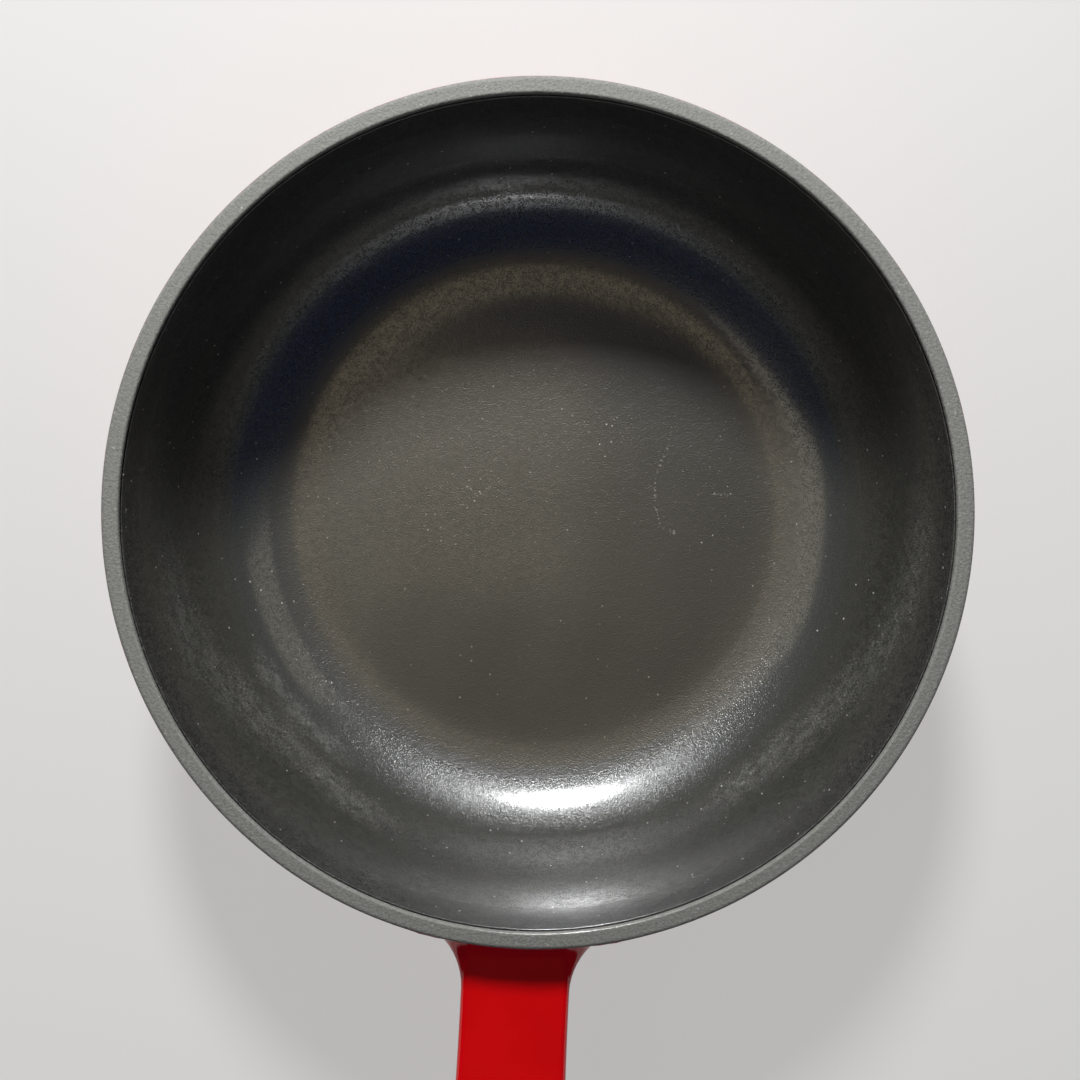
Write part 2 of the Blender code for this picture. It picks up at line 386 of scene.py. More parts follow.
def quarter_section(half_width, half_height, edge):
    """From the middle of the right side to just before the middle of the top."""
    side = half_height - edge
    level = half_width - edge
    points = [(half_width, side * i / SIDE_FLAT_STEPS, 1, 0) for i in range(SIDE_FLAT_STEPS)]
    for i in range(CORNER_STEPS):
        angle = math.pi / 2 * i / CORNER_STEPS
        normal = (math.cos(angle), math.sin(angle))
        points.append((level + edge * normal[0], side + edge * normal[1], *normal))
    points += [(level * (1 - i / TOP_FLAT_STEPS), half_height, 0, 1) for i in range(TOP_FLAT_STEPS)]
    return points


def handle_section(half_width, top, bottom, edge):
    """A rounded rectangle as (x, z, normal x, normal z), from the middle of its right side."""
    half_height = (top - bottom) / 2
    middle = (top + bottom) / 2
    edge = min(edge, half_width * ROUNDEST, half_height * ROUNDEST)
    first = quarter_section(half_width, half_height, edge)
    summit = (0, half_height, 0, 1)
    second = [summit] + [(-x, z, -nx, nz) for x, z, nx, nz in first[:0:-1]]
    upper = first + second
    whole = upper + [(-x, -z, -nx, -nz) for x, z, nx, nz in upper]
    return [(x, middle + z, nx, nz) for x, z, nx, nz in whole]


def root_ring(turn):
    """The handle's section swept out along its root fillet, which meets the wall at a quarter turn."""
    bottom = HANDLE_TOP - NECK_THICKNESS
    ring = []
    for x, z, normal_x, normal_z in handle_section(NECK_HALF_WIDTH, HANDLE_TOP, bottom, HANDLE_EDGE):
        upright = ROOT_TOP if normal_z > 0 else ROOT_UNDER
        radius = ROOT_SIDE * normal_x**2 + upright * normal_z**2
        out_x = x + radius * (1 - math.cos(turn)) * normal_x
        out_z = z + radius * (1 - math.cos(turn)) * normal_z
        wall_y = math.sqrt(wall_radius(out_z, 0) ** 2 - out_x**2)
        ring.append((out_x, -(wall_y + radius * (1 - math.sin(turn))), out_z))
    return ring


def handle_half_width(reach):
    """Widens from the neck to the end, then follows the end's half circle."""
    if reach > END_REACH:
        return math.sqrt(END_RADIUS**2 - (reach - END_REACH) ** 2)
    along = (reach - NECK_REACH) / (END_REACH - NECK_REACH)
    widened = (1 - math.cos(along * math.pi)) / 2
    return NECK_HALF_WIDTH + (END_RADIUS - NECK_HALF_WIDTH) * widened


def handle_heights(reach):
    """The handle's top and bottom at a distance from the bowl's axis."""
    along = (reach - NECK_REACH) / (END_REACH - NECK_REACH)
    top = HANDLE_TOP + END_RISE * along**2
    return top, top - NECK_THICKNESS - (END_THICKNESS - NECK_THICKNESS) * along


def handle_ring(reach):
    """The handle's section at a distance from the bowl's axis, drawn in at the very end."""
    top, bottom = handle_heights(reach)
    inset = END_REACH + END_RADIUS - reach
    if inset < HANDLE_EDGE:
        rounded = HANDLE_EDGE - math.sqrt(HANDLE_EDGE**2 - (HANDLE_EDGE - inset) ** 2)
        top -= rounded
        bottom += rounded
    section = handle_section(handle_half_width(reach), top, bottom, HANDLE_EDGE)
    return [(x, -reach, z) for x, z, _, _ in section]


def handle_rings():
    """Sections from the root fillet's foot on the wall to the handle's end."""
    rings = [root_ring(math.pi / 2 * step / FILLET_STEPS) for step in range(FILLET_STEPS, -1, -1)]
    first = NECK_REACH + 2 * STATION_STEP
    stations = round((END_REACH - first) / STATION_STEP)
    reaches = [first + (END_REACH - first) * i / stations for i in range(stations + 1)]
    turns = [TIP_LAST_TURN * i / TIP_STEPS for i in range(1, TIP_STEPS + 1)]
    reaches += [END_REACH + END_RADIUS * math.sin(turn) for turn in turns]
    return rings + [handle_ring(reach) for reach in reaches]


def hole_ring(offset, sink, upper):
    """The hanging hole's outline, that far out from its wall and that far below the handle's face."""
    near, far = HOLE_REACHES
    radius = HOLE_RADIUS + offset
    ends = arc((0, -near), radius, 0, math.pi, HOLE_STEPS)
    ends += arc((0, -far), radius, math.pi, 2 * math.pi, HOLE_STEPS)
    ring = []
    for x, y in ends:
        top, bottom = handle_heights(-y)
        ring.append((x, y, top - sink if upper else bottom + sink))
    return ring


def hole_rings():
    """From above the handle to below it, flared so that the hole's edges come out rounded."""
    ways = [(math.sin(turn), math.cos(turn)) for turn in FLARE_TURNS]
    flare = [(HOLE_EDGE * (1 - inward), HOLE_EDGE * (1 - outward)) for inward, outward in ways]
    inward, outward = ways[0]
    mouth = (flare[0][0] + FLARE_OUT * outward, flare[0][1] - FLARE_OUT * inward)
    flare.insert(0, mouth)
    above = [hole_ring(offset, sink, True) for offset, sink in flare]
    below = [hole_ring(offset, sink, False) for offset, sink in flare]
    return above + below[::-1]


def skin_over(bm, rings):
    """Quads from ring to ring, each of the same number of corners."""
    for near, far in zip(rings, rings[1:]):
        count = len(near)
        for i in range(count):
            j = (i + 1) % count
            bm.faces.new((near[i], near[j], far[j], far[i]))


def object_from(bm, name):
    """An object that holds what was built. The builder is freed."""
    mesh = bpy.data.meshes.new(name)
    bm.to_mesh(mesh)
    bm.free()
    return add_object(name, mesh)


def lofted(name, rings, hub=None):
    """A closed object through rings of points, with its first end drawn to a hub or closed flat."""
    bm = bmesh.new()
    skins = [[bm.verts.new(point) for point in ring] for ring in rings]
    skin_over(bm, skins)
    if hub:
        centre = bm.verts.new(hub)
        for near, far in zip(skins[0], skins[0][1:] + skins[0][:1]):
            bm.faces.new((near, far, centre))
    else:
        bm.faces.new(skins[0])
    bm.faces.new(skins[-1])
    bmesh.ops.recalc_face_normals(bm, faces=bm.faces)
    return object_from(bm, name)


def handle_mesh():
    """The handle with its hanging hole cut, closed at the root by a fan to the hub."""
    handle = lofted("handle_guide", handle_rings(), HUB)
    cutter = lofted("hole_guide", hole_rings())
    cut = handle.modifiers.new("hanging hole", "BOOLEAN")
    cut.operation = "DIFFERENCE"
    cut.object = cutter
    mesh = evaluated_mesh(handle)
    bpy.data.objects.remove(cutter)
    return mesh


def outside_rows():
    """Places (r, z) down the outside, and the first and last row of the handle's patch."""
    edge = arc(OUTER_EDGE_CENTRE, RIM_OUTER_EDGE, BAND_OUTER_END, -WALL_LEAN, EDGE_STEPS)
    first, last = PATCH_RUNS
    patch = [first + (last - first) * i / PATCH_ROWS for i in range(PATCH_ROWS + 1)]
    foot = WALL_RUN + BEND_RUN
    under = [last + (foot - last) * i / BEND_STEPS for i in range(1, BEND_STEPS + 1)]
    shelf = between((BEND_CENTRE[0], BASE_STEP), (BASE_RADIUS, BASE_STEP), SHELF_STEPS)[1:]
    places = edge + [outside_place(run) for run in patch + under]
    places += shelf + [(BASE_RADIUS, BASE_STEP)]
    return places, len(edge), len(edge) + PATCH_ROWS


def column_angle(column):
    return -math.pi / 2 + 2 * math.pi * column / TURN_SEGMENTS


def wall_grid(bm, places, first_row, last_row):
    """The outside's corners by row and column from the handle, with faces round the handle's patch."""
    half = PATCH_HALF_COLUMNS
    half_turn = TURN_SEGMENTS // 2
    columns = range(-half_turn, half_turn)
    grid = {}
    for row, (r, z) in enumerate(places):
        for column in columns:
            if first_row < row < last_row and abs(column) < half:
                continue
            angle = column_angle(column)
            grid[row, column] = bm.verts.new((r * math.cos(angle), r * math.sin(angle), z))
    grid.update({(row, half_turn): grid[row, -half_turn] for row in range(len(places))})
    for row in range(len(places) - 1):
        for column in columns:
            if first_row <= row < last_row and -half <= column < half:
                continue
            corners = ((row, column), (row + 1, column), (row + 1, column + 1), (row, column + 1))
            bm.faces.new([grid[corner] for corner in corners])
    return grid


def patch_border(first_row, last_row):
    """The patch's border as (row, column), in step with the corners of the handle's section."""
    half = PATCH_HALF_COLUMNS
    middle = (first_row + last_row) // 2
    border = [(row, half) for row in range(middle, first_row, -1)]
    border += [(first_row, column) for column in range(half, -half, -1)]
    border += [(row, -half) for row in range(first_row, last_row)]
    border += [(last_row, column) for column in range(-half, half)]
    border += [(row, half) for row in range(last_row, middle, -1)]
    return border


def skin_patch(bm, grid, border, first_row):
    """Rings on the wall from the foot of the handle's root fillet out to the patch's border."""
    first, last = PATCH_RUNS
    outer = [
        (column_angle(column), first + (last - first) * (row - first_row) / PATCH_ROWS)
        for row, column in border
    ]
    foot = root_ring(math.pi / 2)
    inner = [(math.atan2(y, x), (WALL_TOP_Z - z) / math.cos(WALL_LEAN)) for x, y, z in foot]
    rings = []
    for step in range(PATCH_RINGS):
        share = step / PATCH_RINGS
        ring = [(a + (c - a) * share, b + (d - b) * share) for (a, b), (c, d) in zip(inner, outer)]
        rings.append([bm.verts.new(outside_point(angle, run)) for angle, run in ring])
    rings.append([grid[place] for place in border])
    skin_over(bm, rings)


def red_coat_mesh():
    """The outer face with the handle let into it, given the coat's thickness inwards."""
    bm = bmesh.new()
    bm.from_mesh(handle_mesh())
    fan = [vert for vert in bm.verts if (vert.co - Vector(HUB)).length < MM]
    bmesh.ops.delete(bm, geom=fan, context="VERTS")

    places, first_row, last_row = outside_rows()
    grid = wall_grid(bm, places, first_row, last_row)
    skin_patch(bm, grid, patch_border(first_row, last_row), first_row)

    bmesh.ops.remove_doubles(bm, verts=bm.verts, dist=WELD)
    bmesh.ops.recalc_face_normals(bm, faces=bm.faces)
    lowest = min(bm.faces, key=lambda face: face.calc_center_median().z)
    if lowest.normal.z > 0:
        bmesh.ops.reverse_faces(bm, faces=bm.faces)
    face = object_from(bm, "red_coat_face")
    thick = face.modifiers.new("coat", "SOLIDIFY")
    thick.thickness = COAT
    thick.offset = -1
    return evaluated_mesh(face)


# Shader groups

PLACE_INPUTS = ("Place", "From", "To")
WHOLE = (0.0, 1.0)
FALLING = (1.0, 0.0)
WIDE_GRAIN = 3.7
WIDE_GRAIN_SHARE = 0.4
SPECK_CORE = 0.3
CLOUD_SPAN = (0.3, 0.7)
STROKE_SPAN = (0.40, 0.76)
NICK_WANDER = 1.6
NICK_CORE = 0.2
NICK_FAINT_SPAN = (0.38, 0.62)
NICK_FAINTNESS = (0.1, 1.0)


def effect(name, inputs, output):
    """A shader group on a place, with plain numbers or other places as its inputs and one number out."""
    sockets = [("Vector", "NodeSocketVector")]
    for label in inputs:
        sockets.append((label, "NodeSocketVector" if label in PLACE_INPUTS else "NodeSocketFloat"))
    return new_tree(name, "ShaderNodeTree", sockets, [(output, "NodeSocketFloat")])


def noise_node(tree, vector, size, detail=2.0, roughness=0.5):
    """Noise whose lumps are about that many metres across."""
    scale = calc(tree, "DIVIDE", 1.0, size)
    feeds = {"Vector": vector, "Scale": scale, "Detail": detail, "Roughness": roughness}
    return put(tree, "ShaderNodeTexNoise", feeds)


def eased(tree, value, span, ends=WHOLE):
    """Goes smoothly from the first end to the second while the value crosses the span."""
    feeds = {0: value, 1: span[0], 2: span[1], 3: ends[0], 4: ends[1]}
    return put(tree, "ShaderNodeMapRange", feeds, interpolation_type="SMOOTHSTEP").outputs[0]


def pebble_effect():
    """The fine rounded bumps of a fired coat, as a height."""
    tree, given, made = effect("fired pebble", ("Grain Size",), "Height")
    vector = given.outputs["Vector"]
    fine = noise_node(tree, vector, given.outputs["Grain Size"], detail=1.5, roughness=0.45).outputs[0]
    wide_size = calc(tree, "MULTIPLY", given.outputs["Grain Size"], WIDE_GRAIN)
    wide = noise_node(tree, vector, wide_size, detail=1.0, roughness=0.4).outputs[0]
    wide_height = calc(tree, "MULTIPLY", wide, WIDE_GRAIN_SHARE)
    tree.links.new(calc(tree, "ADD", fine, wide_height), made.inputs["Height"])
    return tree


def specks_effect():
    """Small round pale specks of mixed sizes, here and there."""
    tree, given, made = effect("pale specks", ("Spacing", "Speck Size"), "Mask")
    scale = calc(tree, "DIVIDE", 1.0, given.outputs["Spacing"])
    cells = put(tree, "ShaderNodeTexVoronoi", {"Vector": given.outputs["Vector"], "Scale": scale})
    distance = calc(tree, "MULTIPLY", cells.outputs["Distance"], given.outputs["Spacing"])
    chance = put(tree, "ShaderNodeSeparateColor", {0: cells.outputs["Color"]}).outputs[0]
    size = calc(tree, "MULTIPLY", given.outputs["Speck Size"], chance)
    core = calc(tree, "MULTIPLY", size, SPECK_CORE)
    mask = eased(tree, distance, (core, size), FALLING)
    tree.links.new(calc(tree, "MULTIPLY", mask, chance), made.inputs["Mask"])
    return tree


def clouds_effect():
    """Slow drifts of tone, as a coat fires unevenly."""
    tree, given, made = effect("firing clouds", ("Cloud Size",), "Cloud")
    cloud = noise_node(tree, given.outputs["Vector"], given.outputs["Cloud Size"], detail=3.0).outputs[0]
    tree.links.new(eased(tree, cloud, CLOUD_SPAN), made.inputs["Cloud"])
    return tree


def rub_effect():
    """A soft-edged patch round one place."""
    tree, given, made = effect("rubbed patch", ("Place", "Reach"), "Mask")
    away = vectors(tree, "DISTANCE", given.outputs["Vector"], given.outputs["Place"])["Value"]
    near = eased(tree, away, (0.0, given.outputs["Reach"]), FALLING)
    tree.links.new(near, made.inputs["Mask"])
    return tree


def strokes_effect():
    """Short fine strokes that run along the second coordinate."""
    tree, given, made = effect("fine strokes", ("Stroke Width", "Stroke Length"), "Mask")
    ways = parted(tree, given.outputs["Vector"])
    across = calc(tree, "DIVIDE", ways["X"], given.outputs["Stroke Width"])
    along = calc(tree, "DIVIDE", ways["Y"], given.outputs["Stroke Length"])
    drawn = put(tree, "ShaderNodeCombineXYZ", {"X": across, "Y": along, "Z": ways["Z"]}).outputs[0]
    feeds = {"Vector": drawn, "Scale": 1.0, "Detail": 2.0, "Roughness": 0.6}
    noise = put(tree, "ShaderNodeTexNoise", feeds).outputs[0]
    tree.links.new(eased(tree, noise, STROKE_SPAN), made.inputs["Mask"])
    return tree


def nicks_effect():
    """A wandering row of small nicks from one point to another, some fainter than others."""
    tree, given, made = effect("row of nicks", ("From", "To", "Spacing", "Nick Size"), "Mask")
    vector = given.outputs["Vector"]
    start = given.outputs["From"]
    spacing = given.outputs["Spacing"]
    noise = noise_node(tree, vector, spacing, detail=1.0).outputs
    shaken = vectors(tree, "SUBTRACT", noise["Color"], (MIDDLE_OF_NOISE,) * 3)["Vector"]
    moved = scaled(tree, shaken, calc(tree, "MULTIPLY", spacing, NICK_WANDER))
    place = vectors(tree, "ADD", vector, moved)["Vector"]
    reached = vectors(tree, "SUBTRACT", place, start)["Vector"]
    line = vectors(tree, "SUBTRACT", given.outputs["To"], start)["Vector"]
    length = put(tree, "ShaderNodeVectorMath", {0: line}, operation="LENGTH").outputs["Value"]
    way = put(tree, "ShaderNodeVectorMath", {0: line}, operation="NORMALIZE").outputs["Vector"]
    along = vectors(tree, "DOT_PRODUCT", reached, way)["Value"]
    past = calc(tree, "ADD", along, calc(tree, "MULTIPLY", spacing, 0.5))
    step = calc(tree, "MAXIMUM", calc(tree, "SNAP", past, spacing), 0.0)
    nearest = scaled(tree, way, calc(tree, "MINIMUM", step, length))
    away = vectors(tree, "DISTANCE", reached, nearest)["Value"]
    core = calc(tree, "MULTIPLY", given.outputs["Nick Size"], NICK_CORE)
    mark = eased(tree, away, (core, given.outputs["Nick Size"]), FALLING)
    faint = eased(tree, noise[0], NICK_FAINT_SPAN, NICK_FAINTNESS)
    tree.links.new(calc(tree, "MULTIPLY", mark, faint), made.inputs["Mask"])
    return tree


PEBBLE = pebble_effect()
SPECKS = specks_effect()
CLOUDS = clouds_effect()
RUB = rub_effect()
STROKES = strokes_effect()
NICKS = nicks_effect()


def place_effect(tree, group, vector, **values):
    """An effect placed in a material, with its inputs named with underscores for spaces."""
    node = tree.nodes.new("ShaderNodeGroup")
    node.node_tree = group
    tree.links.new(vector, node.inputs["Vector"])
    for name, value in values.items():
        node.inputs[name.replace("_", " ")].default_value = value
    return node.outputs[0]


# Materials, with colours as linear red, green and blue


def new_material(name, **settings):
    """A material with its Principled shader's plain settings, as (material, tree, shader, place)."""
    material = bpy.data.materials.new(name)
    material.use_nodes = True
    tree = material.node_tree
    shader = tree.nodes["Principled BSDF"]
    for socket, value in settings.items():
        shader.inputs[socket.replace("_", " ")].default_value = value
    place = tree.nodes.new("ShaderNodeTexCoord").outputs["Object"]
    return material, tree, shader, place


def mixed(tree, share, first, second):
    """One colour laid over another by a share."""
    node = put(tree, "ShaderNodeMix", data_type="RGBA")
    factor, colour_a, colour_b = node.inputs[0], node.inputs[6], node.inputs[7]
    tree.links.new(share, factor)
    for socket, colour in ((colour_a, first), (colour_b, second)):
        if isinstance(colour, bpy.types.NodeSocket):
            tree.links.new(colour, socket)
        else:
            socket.default_value = (*colour, 1)
    return node.outputs[2]


def bumped(tree, shader, height, depth):
    bump = put(tree, "ShaderNodeBump", {"Height": height, "Distance": depth})
    tree.links.new(bump.outputs[0], shader.inputs["Normal"])


def product(tree, first, *others):
    """Numbers multiplied together."""
    result = first
    for other in others:
        result = calc(tree, "MULTIPLY", result, other)
    return result


def greatest(tree, masks):
    most = masks[0]
    for mask in masks[1:]:
        most = calc(tree, "MAXIMUM", most, mask)
    return most


def radius_of(tree, ways):
    """The distance from the bowl's axis."""
    level = put(tree, "ShaderNodeCombineXYZ", {"X": ways["X"], "Y": ways["Y"]}).outputs[0]
    return put(tree, "ShaderNodeVectorMath", {0: level}, operation="LENGTH").outputs["Value"]


# Rubbed places on the lining, by degrees round from the handle, radius and height added up, and reach
RUBBED_PLACES = (
    (-70, 131, 15),
    (-62, 125, 14),
    (-54, 118, 13),
    (-45, 113, 11),
    (-37, 113, 10),
    (-30, 115, 10),
    (-56, 101, 7),
    (-48, 101, 8),
    (-40, 100, 7),
    (88, 138, 12),
    (83, 136, 13),
    (76, 133, 12),
    (70, 129, 12),
    (63, 122, 11),
    (55, 117, 12),
    (48, 113, 12),
    (41, 112, 10),
)
WALL_MIDDLE_RADIUS = 0.93 * RIM_RADIUS
RUB_STRETCH = 0.5
RUB_STROKE = {"Stroke_Width": 0.28 * MM, "Stroke_Length": 1.6 * MM}
RUB_STREAKS = (0.08, 1.0)
RUB_BREAKS = 3.5 * MM
RUB_BREAKING = (0.35, 1.0)

# Places on the floor where pale specks, partly real and partly painted glints, lie close together, as x,
# y and reach
SPECKED_PLACES = ((16, 24, 13), (-19, 6, 8), (-27, -4, 9), (48, -6, 8))
SCATTERED_SPECKS_AND_GLINTS = {"Spacing": 2.8 * MM, "Speck_Size": 0.38 * MM}
CLOSE_SPECKS_AND_GLINTS = {"Spacing": 1.5 * MM, "Speck_Size": 0.36 * MM}
FLOOR_SPECKS_AND_GLINTS = (0.45, 1.0)

# Rows of nicks on the floor, each as its two ends in x and y, then the spacing
FLOOR_NICKS = (
    ((36.0, 26.5), (35.5, 20.0), 1.5),
    ((34.6, 18.2), (32.7, 13.5), 1.2),
    ((32.5, 11.9), (32.8, 6.0), 1.1),
    ((32.9, 4.2), (34.5, -1.0), 1.3),
    ((35.9, -1.8), (39.5, -3.0), 1.4),
    ((48.5, 8.5), (54.0, 8.5), 0.9),
    ((-21.0, 8.0), (-17.5, 4.5), 1.3),
    ((-16.4, 5.2), (-14.0, 7.0), 1.2),
)
NICK_SIZE = 0.5 * MM


def unrolled(tree, place):
    """The wall and bend laid flat: the way round from the handle, then radius and height added up."""
    ways = parted(tree, place)
    turn = calc(tree, "ARCTAN2", ways["X"], calc(tree, "MULTIPLY", ways["Y"], -1.0))
    around = calc(tree, "MULTIPLY", turn, WALL_MIDDLE_RADIUS)
    run = calc(tree, "ADD", radius_of(tree, ways), ways["Z"])
    return put(tree, "ShaderNodeCombineXYZ", {"X": around, "Y": run}).outputs[0]


def rubbed_mask(tree, flat):
    """Long soft patches made up of short fine strokes."""
    stretched = vectors(tree, "MULTIPLY", flat, (RUB_STRETCH, 1, 1))["Vector"]
    patches = []
    for turn, run, reach in RUBBED_PLACES:
        spot = (RUB_STRETCH * math.radians(turn) * WALL_MIDDLE_RADIUS, run * MM, 0)
        patches.append(place_effect(tree, RUB, stretched, Place=spot, Reach=reach * MM))
    strokes = place_effect(tree, STROKES, flat, **RUB_STROKE)
    broken = place_effect(tree, CLOUDS, flat, Cloud_Size=RUB_BREAKS)
    streaked = eased(tree, strokes, WHOLE, RUB_STREAKS)
    patchy = eased(tree, broken, WHOLE, RUB_BREAKING)
    return product(tree, greatest(tree, patches), patchy, streaked)


def nicked_mask(tree, place):
    """All the rows of nicks on the floor."""
    rows = []
    for (x, y), (far_x, far_y), spacing in FLOOR_NICKS:
        ends = {"From": (x * MM, y * MM, FLOOR_Z), "To": (far_x * MM, far_y * MM, FLOOR_Z)}
        rows.append(place_effect(tree, NICKS, place, Spacing=spacing * MM, Nick_Size=NICK_SIZE, **ends))
    return greatest(tree, rows)


def specks_and_glints_mask(tree, place, off_floor):
    """Pale specks all over, partly real specks and partly painted glints of the pebbled coat, fainter on
    the floor, with a few close groups there.
    """
    specks = place_effect(tree, SPECKS, place, **SCATTERED_SPECKS_AND_GLINTS)
    scattered = product(tree, specks, eased(tree, off_floor, WHOLE, FLOOR_SPECKS_AND_GLINTS))
    close_specks_and_glints = place_effect(tree, SPECKS, place, **CLOSE_SPECKS_AND_GLINTS)
    groups = []
    for x, y, reach in SPECKED_PLACES:
        spot = (x * MM, y * MM, FLOOR_Z)
        groups.append(place_effect(tree, RUB, place, Place=spot, Reach=reach * MM))
    return greatest(tree, [scattered, product(tree, close_specks_and_glints, greatest(tree, groups))])


# Lining: its spans of height, its grains, its colours, then how each thing changes its gloss
OFF_FLOOR = (FLOOR_Z + 0.5 * MM, FLOOR_Z + 3.5 * MM)
ON_WALL = (FLOOR_Z + 6 * MM, FLOOR_Z + 24 * MM)
# Painted shade: a band just under the rim where the lining is darkened towards near-black, as shade. The
# band is also rougher there and carries less of the narrow gloss.
SHADED_TOP_BAND = (HEIGHT - 13 * MM, HEIGHT - 5 * MM)
LINING_GRAIN = 0.38 * MM
LINING_GRAIN_DEPTH = 0.135 * MM
LINING_MOTTLE = 0.7 * MM
LINING_GLAZE_GRAIN = 0.42 * MM
LINING_CLOUDS = 22 * MM
# Painted shade on the wall: where the mottle is low, the wall is darkened towards near-black, as shade
MOTTLE_SPAN = (0.55, 0.85)
WALL_SHADE_DARKNESS = (0.55, 0.0)
# How far the painted shade under the rim darkens the lining
TOP_SHADE_DARKNESS = 0.45
FLOOR_BLACKS = ((0.045, 0.0415, 0.032), (0.051, 0.047, 0.0365))
WALL_BLACK = (0.046, 0.0455, 0.0385)
# The near-black that the painted shade on the wall and under the rim darkens towards
PAINTED_SHADE_BLACK = (0.005, 0.005, 0.006)
SCUFF_GREY = (0.25, 0.246, 0.225)
NICK_GREY = (0.27, 0.26, 0.23)
# Pale specks: partly real specks, partly painted glints of the pebbled coat
SPECK_AND_GLINT_WHITE = (0.52, 0.50, 0.46)
LINING_ROUGHNESS = (0.36, 0.26)
RUBBED_ROUGHNESS = 0.3
TOP_BAND_ROUGHNESS = 0.2
GLAZE_SPAN = (0.56, 0.84)
GLAZE_ON_GRAIN = (0.25, 1.0)
GLAZE_OFF_FLOOR = (0.5, 1.0)
GLAZE_TO_EDGE = (1.0, 0.8)


def lining_material():
    """Satin black, whose grain shows in a narrow gloss over a wider one."""
    material, tree, shader, place = new_material(
        "satin black lining", Specular_IOR_Level=0.75, Coat_Roughness=0.16, Coat_IOR=2.15
    )
    height = parted(tree, place)["Z"]
    pebble = place_effect(tree, PEBBLE, place, Grain_Size=LINING_GRAIN)
    mottle = place_effect(tree, PEBBLE, place, Grain_Size=LINING_MOTTLE)
    clouds = place_effect(tree, CLOUDS, place, Cloud_Size=LINING_CLOUDS)
    rubbed = rubbed_mask(tree, unrolled(tree, place))
    off_floor = eased(tree, height, OFF_FLOOR)
    walled = eased(tree, height, ON_WALL)
    # The band under the rim where shade is painted
    shaded_top = eased(tree, height, SHADED_TOP_BAND)

    # Painted shade on the wall, broken up by the mottle
    wall_shade = product(tree, walled, eased(tree, mottle, MOTTLE_SPAN, WALL_SHADE_DARKNESS))
    # Painted shade: the wall's mottled darkening plus the band under the rim
    painted_shade = calc(tree, "ADD", wall_shade, product(tree, shaded_top, TOP_SHADE_DARKNESS))
    black = mixed(tree, clouds, *FLOOR_BLACKS)
    wall_black = mixed(tree, off_floor, black, WALL_BLACK)
    shaded_black = mixed(tree, painted_shade, wall_black, PAINTED_SHADE_BLACK)
    scuffed = mixed(tree, rubbed, shaded_black, SCUFF_GREY)
    nicked = mixed(tree, nicked_mask(tree, place), scuffed, NICK_GREY)
    # Pale specks laid over the lining, partly painted glints
    specks_and_glints = mixed(tree, specks_and_glints_mask(tree, place, off_floor), nicked, SPECK_AND_GLINT_WHITE)
    tree.links.new(specks_and_glints, shader.inputs["Base Color"])

    satin = eased(tree, off_floor, WHOLE, LINING_ROUGHNESS)
    rubbed_dull = product(tree, rubbed, RUBBED_ROUGHNESS)
    # The band of painted shade under the rim is also rougher
    dulled = calc(tree, "ADD", rubbed_dull, product(tree, shaded_top, TOP_BAND_ROUGHNESS))
    tree.links.new(calc(tree, "ADD", satin, dulled), shader.inputs["Roughness"])
    tops = place_effect(tree, PEBBLE, place, Grain_Size=LINING_GLAZE_GRAIN)
    glazed = eased(tree, tops, GLAZE_SPAN, GLAZE_ON_GRAIN)
    floor_share = eased(tree, off_floor, WHOLE, GLAZE_OFF_FLOOR)
    edge_share = eased(tree, shaded_top, WHOLE, GLAZE_TO_EDGE)
    tree.links.new(product(tree, glazed, floor_share, edge_share), shader.inputs["Coat Weight"])
    bumped(tree, shader, pebble, LINING_GRAIN_DEPTH)
    return material


# Rim
RIM_GRAIN = 0.5 * MM
RIM_GRAIN_DEPTH = 0.14 * MM
RIM_CLOUDS = 0.7 * MM
RIM_SPECKS = {"Spacing": 1.8 * MM, "Speck_Size": 0.35 * MM}
RIM_GREYS = ((0.152, 0.152, 0.139), (0.213, 0.212, 0.194))
RIM_SPECK_GREY = (0.36, 0.36, 0.35)
RIM_ROUGHNESS = (0.58, 0.70)
RIM_INNER_RADIUS = RIM_RADIUS - WALL
POLISHED_EDGE = (RIM_INNER_RADIUS + 0.4 * MM, RIM_INNER_RADIUS + 1.0 * MM)
POLISH_WEAR = (0.3, 1.0)


def rim_material():
    """Matt grey, polished along its inner edge."""
    material, tree, shader, place = new_material(
        "matt grey rim", Specular_IOR_Level=0.25, Coat_Roughness=0.2
    )
    pebble = place_effect(tree, PEBBLE, place, Grain_Size=RIM_GRAIN)
    clouds = place_effect(tree, CLOUDS, place, Cloud_Size=RIM_CLOUDS)
    specks = place_effect(tree, SPECKS, place, **RIM_SPECKS)
    grey = mixed(tree, clouds, *RIM_GREYS)
    tree.links.new(mixed(tree, specks, grey, RIM_SPECK_GREY), shader.inputs["Base Color"])
    tree.links.new(eased(tree, clouds, WHOLE, RIM_ROUGHNESS), shader.inputs["Roughness"])
    polished = eased(tree, radius_of(tree, parted(tree, place)), POLISHED_EDGE, FALLING)
    worn = eased(tree, clouds, WHOLE, POLISH_WEAR)
    tree.links.new(product(tree, polished, worn), shader.inputs["Coat Weight"])
    bumped(tree, shader, pebble, RIM_GRAIN_DEPTH)
    return material


# Outside
RED_PEEL = 2.4 * MM
RED_PEEL_DEPTH = 0.02 * MM
RED_CLOUDS = 30 * MM
REDS = ((0.60, 0.001, 0.002), (0.68, 0.002, 0.003))
RED_ROUGHNESS = (0.12, 0.18)


